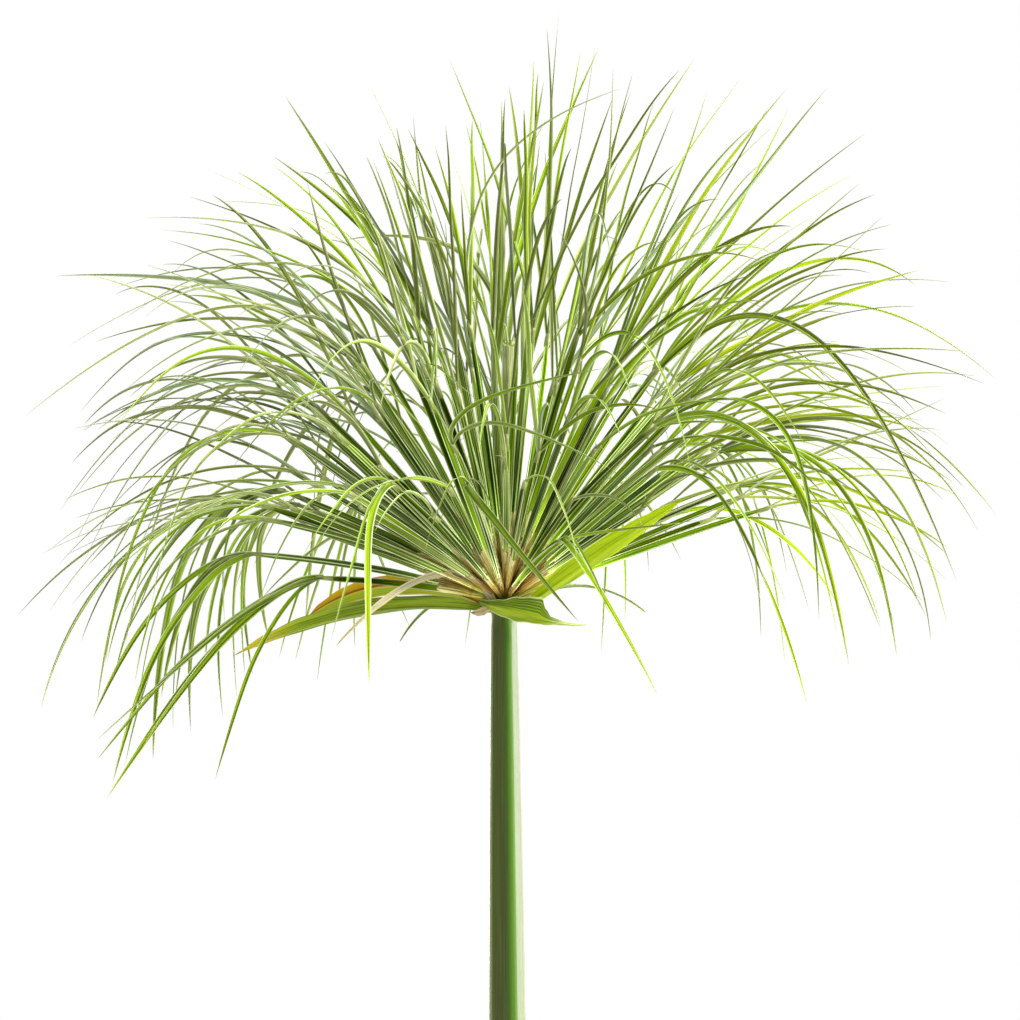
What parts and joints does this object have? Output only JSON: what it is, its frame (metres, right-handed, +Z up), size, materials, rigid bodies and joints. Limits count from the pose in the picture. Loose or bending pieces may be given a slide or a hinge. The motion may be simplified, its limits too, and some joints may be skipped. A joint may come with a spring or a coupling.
{
  "type": "potted papyrus plant",
  "caption": "Papyrus plant in a plain tapered clay pot: a three-sided stem with a round mop of thin forked rays over a ring of broad bracts.",
  "frame": {"origin": "centre of the pot's underside", "axes": "+Z up along the pot's axis, +X to the right and +Y away from a viewer who faces the plant"},
  "size_m": [0.5025, 0.4645, 1.1115],
  "materials": {
    "pot": "matte",
    "soil": "matte",
    "culm": "satin",
    "husk": "matte",
    "bract": "satin",
    "dry_bract": "matte",
    "rays": "satin"
  },
  "bodies": {
    "root": {"pot": "pot", "soil": "soil", "culm": "culm", "basal_sheath_inner": "husk", "basal_sheath_outer": "husk", "bract_left": "bract", "bract_left_upper": "bract", "bract_front": "bract", "bract_right": "bract", "bract_back_left": "bract", "bract_back_right": "bract", "bract_dry": "dry_bract", "ray_01": "rays", "ray_02": "rays", "ray_03": "rays", "ray_04": "rays", "ray_05": "rays", "ray_06": "rays", "ray_07": "rays", "ray_08": "rays", "ray_09": "rays", "ray_10": "rays", "ray_11": "rays", "ray_12": "rays", "ray_13": "rays", "ray_14": "rays", "ray_15": "rays", "ray_16": "rays", "ray_17": "rays", "ray_18": "rays", "ray_19": "rays", "ray_20": "rays", "ray_21": "rays", "ray_22": "rays", "ray_23": "rays", "ray_24": "rays", "ray_25": "rays", "ray_26": "rays", "ray_27": "rays", "ray_28": "rays", "ray_29": "rays", "ray_30": "rays", "ray_31": "rays", "ray_32": "rays", "ray_33": "rays", "ray_34": "rays", "ray_35": "rays", "ray_36": "rays", "ray_37": "rays", "ray_38": "rays", "ray_39": "rays", "ray_40": "rays", "ray_41": "rays", "ray_42": "rays", "ray_43": "rays", "ray_44": "rays", "ray_45": "rays", "ray_46": "rays", "ray_47": "rays", "ray_48": "rays"}
  },
  "joints": []
}
